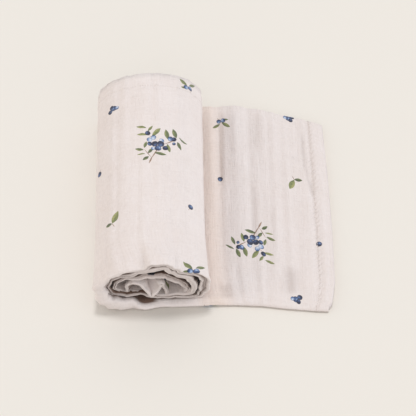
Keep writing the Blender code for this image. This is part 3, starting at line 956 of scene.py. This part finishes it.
# ---------------------------------------------------------------------------------------------------------
# The muslin and the thread.
CLOUDS, MOTTLE, FOLDS = (26.0, 3.0, 0.55), (210.0, 3.0, 0.6), (95.0, 1.0, 0.4)  # noise, as in the print
YARNS, STREAKS, TWIST = (1.0, 2.0, 0.6), (1.0, 2.0, 0.5), (900.0, 2.0, 0.6)
ACROSS_YARN, ALONG_YARN, ACROSS_STREAK, ALONG_STREAK = 620.0, 38.0, 150.0, 26.0  # scales
STREAK_HEADING = (0.8, 0.6)
# How much each of these takes of the shaded dye, and how much it adds to the cloth's height.
CLOUD_DYE, MOTTLE_DYE, YARN_DYE, EVEN_DYE = 0.9, 0.6, 0.8, 0.35
YARN_RISE, MOTTLE_RISE, STREAK_RISE, FOLD_RISE, GROOVE_DEPTH, PUCKER_RISE = 0.6, 0.55, 1.3, 1.6, 0.30, 0.28
GROOVE_HALF_WIDTH, PUCKERED_HALF_WIDTH, PUCKER_SPACING = 0.0016, 0.009, 0.0072
PUCKER_WANDER = 25.0
WEAVE_DEPTH = 0.0012
LEAST_ROUGH, ROUGHER = 0.90, 0.06
MUSLIN_FINISH = {"Sheen Weight": 0.25, "Sheen Roughness": 0.6, "Specular IOR Level": 0.2}
TWIST_DEPTH, TWIST_STRENGTH, TWIST_SHADE, THREAD_ROUGHNESS = 0.0002, 0.4, 0.86, 0.85


def muslin(name, dye, printed):
    """Double muslin: a crinkled off-white weave, with the print on its right side and a stitched hem. Its
    height is the sum of two ways of yarns, a mottle and the crinkle's streaks and folds, less the groove of
    the seams, with puckers beside it as a sine along both sides' lengths."""
    tree = Tree(name)
    uv = tree.add("ShaderNodeUVMap", {"uv_map": "Cloth"})
    u, v, _ = tree.parts(uv)
    # Shares of painted shade and painted warm light, and of the crinkle, read from the points.
    crevice, glow, crinkle = [
        tree.add("ShaderNodeAttribute", {"attribute_name": share}, out="Fac")
        for share in ("crevice", "glow", "crinkle")
    ]
    clouds, mottle = tree.noise(uv, *CLOUDS), tree.noise(uv, *MOTTLE)
    warps = tree.noise(tree.joined(u * ACROSS_YARN, v * ALONG_YARN), *YARNS)
    wefts = tree.noise(tree.joined(u * ALONG_YARN, v * ACROSS_YARN), *YARNS)
    light, shade = dye
    share = (clouds - 0.5) * CLOUD_DYE + (mottle - 0.5) * MOTTLE_DYE + (warps + wefts - 1.0) * YARN_DYE
    share = (share + EVEN_DYE).within()
    colour = tree.mix(share, light, shade)
    if printed:
        colour = print_over(tree, colour, tree.add("ShaderNodeUVMap", {"uv_map": "Print"}))
    # Painted warm light and painted shade, multiplied into the colour.
    colour = tree.mix(glow, colour, GLOW_TINT, "MULTIPLY")
    colour = tree.mix(crevice, colour, PAINTED_SHADE_TINT, "MULTIPLY")
    tree.plug(colour, tree.shader.inputs["Base Color"])
    tree.plug(share * ROUGHER + LEAST_ROUGH, tree.shader.inputs["Roughness"])

    off_ends, off_sides = [
        (side.do("MINIMUM", CLOTH_SIDE - side) - SEAM_INSET).do("ABSOLUTE") for side in (u, v)
    ]
    groove, beside = [
        off_ends.times_plus(-1 / half_width, 1.0, clamp=True)
        + off_sides.times_plus(-1 / half_width, 1.0, clamp=True) * SIDE_SEAM_SHARE
        for half_width in (GROOVE_HALF_WIDTH, PUCKERED_HALF_WIDTH)
    ]
    puckers = ((u + v) * (2 * math.pi / PUCKER_SPACING) + clouds * PUCKER_WANDER).do("SINE")
    run, down = STREAK_HEADING
    place = tree.joined((u * run + v * down) * ACROSS_STREAK, (u * down - v * run) * ALONG_STREAK)
    streaks, folds = tree.noise(place, *STREAKS), tree.noise(uv, *FOLDS)
    height = warps * YARN_RISE + wefts * YARN_RISE + mottle * MOTTLE_RISE
    height = height + (streaks * STREAK_RISE + folds * FOLD_RISE) * crinkle
    height = height - groove * GROOVE_DEPTH + puckers * beside * PUCKER_RISE
    tree.bump(1.0, WEAVE_DEPTH, height)
    for finish, value in MUSLIN_FINISH.items():
        tree.shader.inputs[finish].default_value = value
    return tree.material


def thread(name, colour):
    """Cotton sewing thread, with a fine twist."""
    tree = Tree(name)
    grain = tree.noise(tree.add("ShaderNodeTexCoord", {}, out="Object"), *TWIST)
    dark = tuple(TWIST_SHADE * value for value in colour[:3]) + (1.0,)
    tree.plug(tree.mix(grain, dark, colour), tree.shader.inputs["Base Color"])
    tree.shader.inputs["Roughness"].default_value = THREAD_ROUGHNESS
    tree.bump(TWIST_STRENGTH, TWIST_DEPTH, grain)
    return tree.material


# ---------------------------------------------------------------------------------------------------------
# Meshes.
def grid_faces(rows, columns):
    """The corners of each square of a grid whose points are numbered row by row."""
    first = np.arange(rows - 1)[:, None] * columns + np.arange(columns - 1)
    return np.stack([first, first + 1, first + columns + 1, first + columns], axis=-1).reshape(-1, 4)


def mesh_object(name, points, faces, materials):
    """An object in the scene, made of points and faces."""
    mesh = bpy.data.meshes.new(name)
    mesh.from_pydata(points.reshape(-1, 3), [], faces.tolist())
    mesh.shade_smooth()
    for material in materials:
        mesh.materials.append(material)
    thing = bpy.data.objects.new(name, mesh)
    bpy.context.scene.collection.objects.link(thing)
    return thing


def give_map(thing, name, u, v):
    """A UV map that holds each point's place on the flat cloth or in its print, in metres."""
    mesh = thing.data
    layer = mesh.uv_layers.new(name=name)
    corners = np.empty(len(mesh.loops), dtype=np.int32)
    mesh.loops.foreach_get("vertex_index", corners)
    places = np.stack(np.broadcast_arrays(u, v), axis=-1).reshape(-1, 2)
    layer.uv.foreach_set("vector", places[corners].astype(np.float32).ravel())


# ---------------------------------------------------------------------------------------------------------
# What a maker would change.
def dye_property(name, description, default):
    """A colour that can be picked."""
    return FloatVectorProperty(
        name=name, description=description, subtype="COLOR", size=4, min=0, max=1, default=default,
    )


class BlanketSizes(bpy.types.PropertyGroup):
    """Sizes of the blanket that a maker would change."""
    hem_width: FloatProperty(
        name="Hem width", description="Width of the turned hem", default=HEM_WIDTH, min=0.005, max=0.04,
        unit="LENGTH",
    )
    hem_thick: FloatProperty(
        name="Hem thickness", description="Thickness of the turned hem", default=HEM_THICK, min=0.0005,
        max=0.002, unit="LENGTH",
    )
    stitch: FloatProperty(
        name="Stitch length", description="Length of one hem stitch", default=STITCH_SPACING, min=0.001,
        max=0.006, unit="LENGTH",
    )


class BlanketColours(bpy.types.PropertyGroup):
    """Dyes of the blanket."""
    light: dye_property("Cloth", "Colour of the muslin", (0.80, 0.725, 0.705, 1.0))
    shade: dye_property(
        "Cloth in its slubs", "Colour of the muslin where it is thicker", (0.735, 0.645, 0.61, 1.0),
    )
    thread: dye_property("Thread", "Colour of the sewing thread", (0.80, 0.72, 0.68, 1.0))


class BlanketStudio(bpy.types.PropertyGroup):
    """The studio's floor and light."""
    floor: dye_property("Floor", "Colour of the floor", (0.80, 0.755, 0.70, 1.0))
    sky: FloatProperty(name="Sky", description="Strength of the light from all round", default=0.772, min=0)
    right: FloatProperty(name="Right light", description="Strength from the right", default=1.17, min=0)
    warm: FloatProperty(name="Warm light", description="Strength from the left", default=0.725, min=0)
    floor_light: FloatProperty(
        name="Floor light", description="Strength on the floor alone", default=1.02, min=0,
    )


class BLANKET_OT_roll_cloth(bpy.types.Operator):
    """Folds the cloth in four, rolls it up and lays its end out flat"""
    bl_idname = "blanket.roll_cloth"
    bl_label = "Roll the cloth"

    def execute(self, context):
        sizes, colours = context.scene.blanket_sizes, context.scene.blanket_colours
        along, across = steps_to(ROW_STEPS), across_steps()
        points = cloth_at(along[:, None], across[None, :])
        faces = grid_faces(len(along), len(across))
        dye = tuple(colours.light), tuple(colours.shade)
        materials = [muslin("printed_muslin", dye, True), muslin("muslin_back", dye, False)]
        cloth = mesh_object("muslin_cloth", points, faces, materials)
        give_map(cloth, "Cloth", along[:, None], across[None, :])
        give_map(cloth, "Print", *slipped(along[:, None], across[None, :]))

        # Each point's share of painted shade, of painted warm light and of the crinkle.
        for name, share in (("crevice", painted_shade_share), ("glow", glow_share), ("crinkle", crinkle_share)):
            layer = cloth.data.attributes.new(name, "FLOAT", "POINT")
            values = np.broadcast_to(share(along[:, None], across[None, :]), points.shape[:2])
            layer.data.foreach_set("value", values.astype(np.float32).ravel())

        off_ends, off_sides = [np.minimum(side, CLOTH_SIDE - side) for side in (along, across)]
        to_edge = np.minimum(off_ends[:, None], off_sides[None, :])
        hem = cloth.vertex_groups.new(name="hem")
        hem.add(np.flatnonzero(to_edge.ravel() <= sizes.hem_width).tolist(), 1.0, "REPLACE")
        solid = cloth.modifiers.new("thickness", "SOLIDIFY")
        solid.thickness, solid.offset = sizes.hem_thick, 0.0
        solid.use_even_offset, solid.use_quality_normals = False, True
        solid.vertex_group, solid.thickness_vertex_group = "hem", PLAIN_SHARE
        solid.material_offset = 1

        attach(cloth, "root")
        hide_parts("blanket")
        return {"FINISHED"}


class BLANKET_OT_sew_hem(bpy.types.Operator):
    """Sews the hem round the rolled cloth"""
    bl_idname = "blanket.sew_hem"
    bl_label = "Sew the hem"

    def execute(self, context):
        sizes, colours = context.scene.blanket_sizes, context.scene.blanket_colours
        points, faces = stitches(sizes.stitch, sizes.hem_thick / 2)
        sewn = mesh_object("hem_stitches", points, faces, [thread("cotton_thread", tuple(colours.thread))])
        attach(sewn, "root")
        return {"FINISHED"}


# ---------------------------------------------------------------------------------------------------------
# The studio. Angles are in degrees.
FLOOR_HALF = 4.0
FLOOR_FINISH = {"Roughness": 0.95, "Specular IOR Level": 0.0}
SKY_TINT = (1.0, 0.996, 0.988, 1.0)
LAMPS = (  # name, property that holds its strength, softness, tint, place, what it lights
    ("right_lamp", "right", 30, (0.87, 0.935, 1.0), (0.9, -0.1, 0.8), "blanket"),
    ("warm_lamp", "warm", 40, (1.0, 0.92, 0.82), (-1.0, -0.1, 0.6), "blanket"),
    ("floor_lamp", "floor_light", 9, (0.955, 0.98, 1.0), (0.0, 0.16, 1.0), "floor"),
)
CAMERA_TURN, CAMERA_UP, CAMERA_AWAY = 1.0, 57.0, 2.14
CAMERA_TARGET = (-0.0079, 0.0, 0.0)
CAMERA_LENS, CAMERA_SENSOR = 139.8, 36.0


def aimed(name, data, place, target):
    """A lamp or a camera at a place, turned to look at a target."""
    thing = bpy.data.objects.new(name, data)
    bpy.context.scene.collection.objects.link(thing)
    thing.location = place
    thing.rotation_euler = (Vector(target) - thing.location).to_track_quat("-Z", "Y").to_euler()
    return thing


class BLANKET_OT_build_studio(bpy.types.Operator):
    """Lays the floor, hangs the soft light and sets up the camera"""
    bl_idname = "blanket.build_studio"
    bl_label = "Build the studio"

    def execute(self, context):
        studio, scene = context.scene.blanket_studio, context.scene
        tree = Tree("studio_floor")
        tree.shader.inputs["Base Color"].default_value = studio.floor
        for finish, value in FLOOR_FINISH.items():
            tree.shader.inputs[finish].default_value = value
        corners = np.array([(x, y, 0) for y in (-FLOOR_HALF, FLOOR_HALF) for x in (-FLOOR_HALF, FLOOR_HALF)])
        floor = mesh_object("studio_floor", corners, grid_faces(2, 2), [tree.material])

        world = bpy.data.worlds.new("studio_sky")
        world.use_nodes = True
        sky = world.node_tree.nodes["Background"].inputs
        sky["Color"].default_value, sky["Strength"].default_value = SKY_TINT, studio.sky
        scene.world = world

        blanket = [thing for thing in scene.objects if thing.type == "MESH" and thing is not floor]
        lights = {"blanket": blanket, "floor": [floor]}
        for name, strength, softness, tint, place, lit in LAMPS:
            lamp = bpy.data.lights.new(name, "SUN")
            lamp.energy, lamp.color, lamp.angle = getattr(studio, strength), tint, math.radians(softness)
            hung = aimed(name, lamp, place, (0.0, 0.0, 0.0))
            receivers = bpy.data.collections.new("lit_by_" + name)
            hung.light_linking.receiver_collection = receivers
            for thing in lights[lit]:
                receivers.objects.link(thing)

        camera = bpy.data.cameras.new("camera")
        camera.lens, camera.sensor_width = CAMERA_LENS, CAMERA_SENSOR
        turn, up = math.radians(CAMERA_TURN), math.radians(CAMERA_UP)
        way = Vector((-math.cos(up) * math.sin(turn), -math.cos(up) * math.cos(turn), math.sin(up)))
        target = Vector(CAMERA_TARGET)
        scene.camera = aimed("camera", camera, target + CAMERA_AWAY * way, target)
        scene.view_settings.view_transform = "Standard"
        return {"FINISHED"}


class BLANKET_PT_panel(bpy.types.Panel):
    """Lists the blanket's sizes, colours and steps"""
    bl_label = "Swaddle blanket"
    bl_idname = "BLANKET_PT_panel"
    bl_space_type = "VIEW_3D"
    bl_region_type = "UI"
    bl_category = "Blanket"

    def draw(self, context):
        scene, layout = context.scene, self.layout
        for name, group in GROUPS.items():
            for value in group.__annotations__:
                layout.prop(getattr(scene, name), value)
        for step in STEPS:
            layout.operator(step.bl_idname)


GROUPS = {
    "blanket_sizes": BlanketSizes, "blanket_colours": BlanketColours, "blanket_studio": BlanketStudio,
}
STEPS = (BLANKET_OT_roll_cloth, BLANKET_OT_sew_hem, BLANKET_OT_build_studio)


def register():
    for name, group in GROUPS.items():
        bpy.utils.register_class(group)
        setattr(bpy.types.Scene, name, PointerProperty(type=group))
    for one in (*STEPS, BLANKET_PT_panel):
        bpy.utils.register_class(one)


def unregister():
    for one in (BLANKET_PT_panel, *STEPS):
        bpy.utils.unregister_class(one)
    for name, group in GROUPS.items():
        delattr(bpy.types.Scene, name)
        bpy.utils.unregister_class(group)


def main():
    register()
    bpy.ops.blanket.roll_cloth()
    bpy.ops.blanket.sew_hem()
    bpy.ops.blanket.build_studio()


if __name__ == "__main__":
    main()
